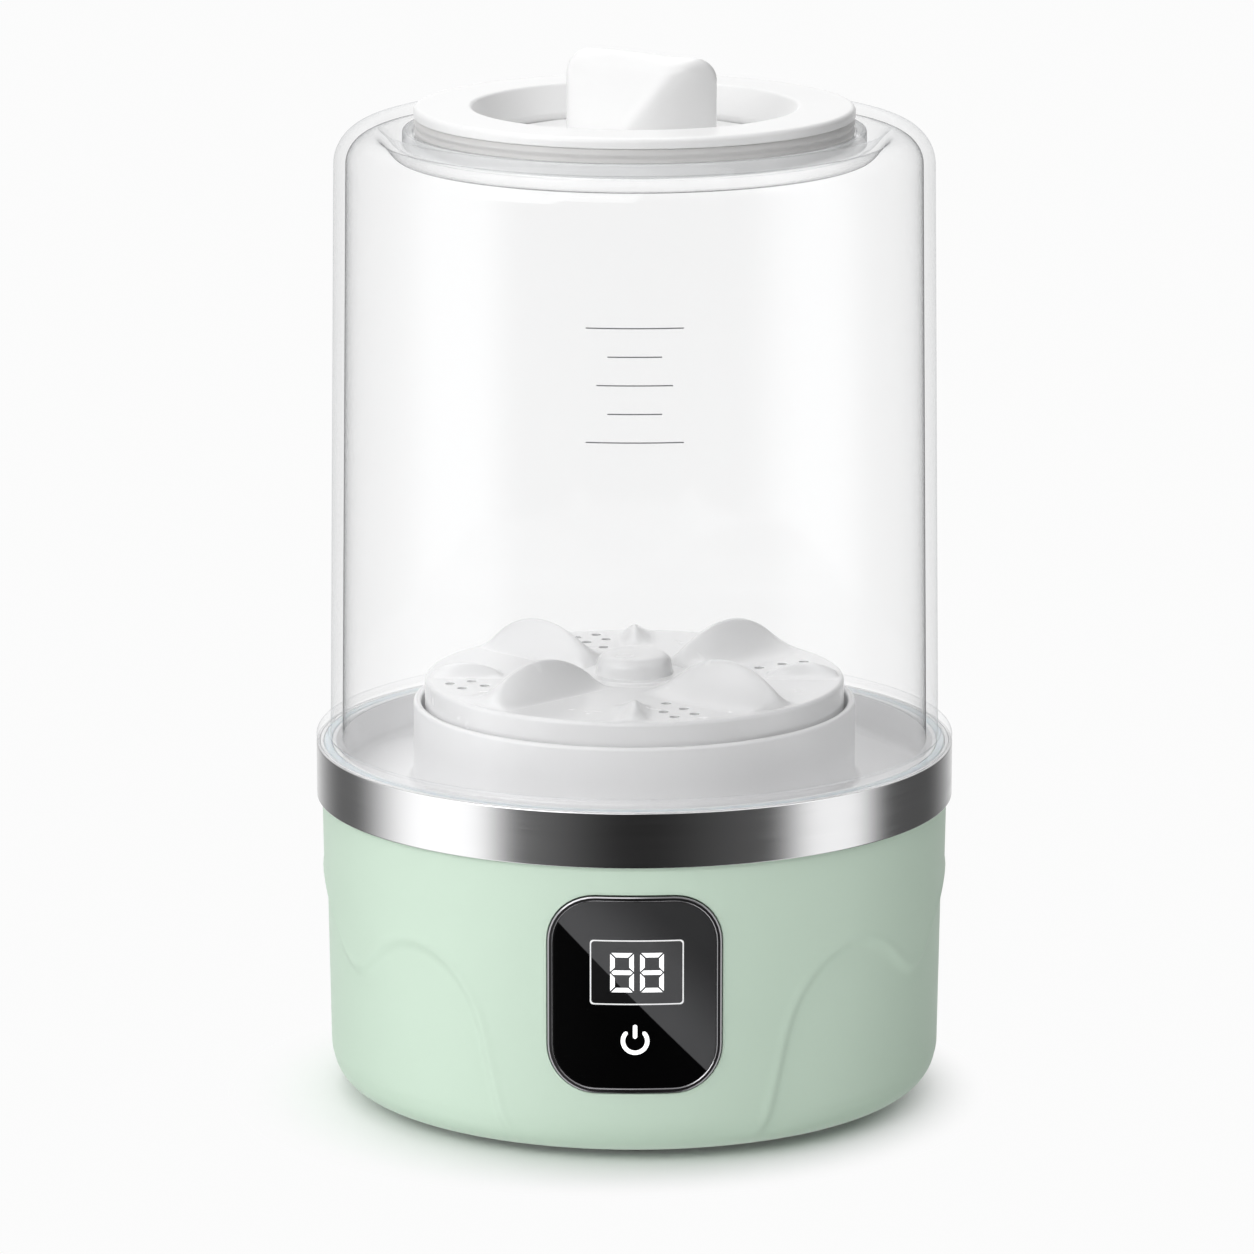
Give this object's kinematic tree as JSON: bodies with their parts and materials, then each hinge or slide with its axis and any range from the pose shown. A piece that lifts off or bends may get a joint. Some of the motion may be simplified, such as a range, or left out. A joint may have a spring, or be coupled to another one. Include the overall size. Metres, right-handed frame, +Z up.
{
  "type": "yogurt maker",
  "caption": "Countertop yogurt maker: round heated base with a touch panel, finned stirring disc, clear jar, and a white lid with a twisted grip.",
  "frame": {"origin": "on the floor under the middle of the base, on the spindle's axis", "axes": "+Z up along the spindle, -Y towards the front panel, +X to the right seen from the front"},
  "size_m": [0.15, 0.15, 0.2472],
  "materials": {
    "shell_green": "fine satin moulded plastic, pale mint",
    "band_steel": "polished, faintly brushed round the band",
    "white_plastic": "satin white moulded plastic",
    "cover_plastic": "fine matt",
    "clear_plastic": "clear, polished",
    "panel_black": "gloss black lens",
    "bezel_metal": "polished gunmetal",
    "silicone": "soft, translucent grey white",
    "foot_rubber": "matt",
    "screw_steel": "zinc plated",
    "circuit_board": "solder masked",
    "black_plastic": "fine matt",
    "brass": "turned",
    "bronze": "sintered, oiled",
    "aluminium": "rolled sheet",
    "heater_ceramic": "pressed sheath",
    "sensor_white": "matt ceramic",
    "zinc_sheet": "zinc plated sheet",
    "shaft_steel": "ground",
    "spring_steel": "oiled",
    "acetal": "moulded, cream",
    "seal_rubber": "matt",
    "wire_blue": "wire sleeve",
    "wire_red": "silicone sleeve",
    "wire_black": "wire sleeve",
    "ribbon_grey": "flat cable"
  },
  "bodies": {
    "base": {"outer_shell": "shell_green", "steel_band": "band_steel", "deck": "white_plastic", "jar_seal": "silicone", "bottom_cover": "cover_plastic", "rubber_feet": "foot_rubber", "case_screws": "screw_steel", "panel_bezel": "bezel_metal", "panel_glass": "panel_black", "display_module": "black_plastic", "touch_electrode": "brass", "control_board": "circuit_board", "control_board_parts": "black_plastic", "control_board_screws": "screw_steel", "power_board": "circuit_board", "power_board_parts": "black_plastic", "power_board_screws": "screw_steel", "power_inlet": "black_plastic", "inlet_pins": "brass", "heater_plate": "aluminium", "heating_element": "heater_ceramic", "heater_screws": "screw_steel", "temperature_sensor": "sensor_white", "thermal_fuse": "sensor_white", "gear_plate": "zinc_sheet", "plate_hangers": "brass", "plate_screws": "screw_steel", "lower_bush": "bronze", "upper_bush": "bronze", "shaft_seal": "seal_rubber", "idler_pin": "shaft_steel", "idler_clip": "spring_steel", "motor_can": "zinc_sheet", "motor_end_cap": "black_plastic", "motor_terminals": "brass", "motor_screws": "screw_steel", "inlet_wires": "wire_blue", "heater_wires": "wire_red", "motor_wires": "wire_black", "board_ribbon": "ribbon_grey"},
    "spindle": {"spindle": "shaft_steel", "spindle_gear": "acetal", "thrust_washer": "shaft_steel", "spindle_clip": "spring_steel"},
    "idler": {"idler_gear": "acetal"},
    "motor_rotor": {"motor_shaft": "shaft_steel", "motor_pinion": "brass"},
    "agitator": {"agitator_disc": "white_plastic"},
    "jar": {"jar": "clear_plastic"},
    "lid": {"lid": "white_plastic", "lid_grip": "white_plastic", "lid_gasket": "silicone"}
  },
  "joints": [
    {"name": "spindle_spin", "type": "hinge", "parent": "base", "child": "spindle", "pos_m": [0, 0, 0.05], "axis": [0, 0, 1], "continuous": true},
    {"name": "idler_spin", "type": "hinge", "parent": "base", "child": "idler", "pos_m": [-0.02771, 0.016, 0.048], "axis": [0, 0, 1], "continuous": true},
    {"name": "motor_spin", "type": "hinge", "parent": "base", "child": "motor_rotor", "pos_m": [-0.01491, 0.03817, 0.045], "axis": [0, 0, 1], "continuous": true},
    {"name": "agitator_lift", "type": "slide", "parent": "spindle", "child": "agitator", "axis": [0, 0, 1], "range_m": [0, 0.05]},
    {"name": "jar_lift", "type": "slide", "parent": "base", "child": "jar", "axis": [0, 0, 1], "range_m": [0, 0.08]},
    {"name": "lid_lift", "type": "slide", "parent": "jar", "child": "lid", "axis": [0, 0, 1], "range_m": [0, 0.06]}
  ],
  "couplings": [
    {"joint": "idler_spin", "follows": "spindle_spin", "ratio": -4},
    {"joint": "motor_spin", "follows": "spindle_spin", "ratio": 12}
  ]
}
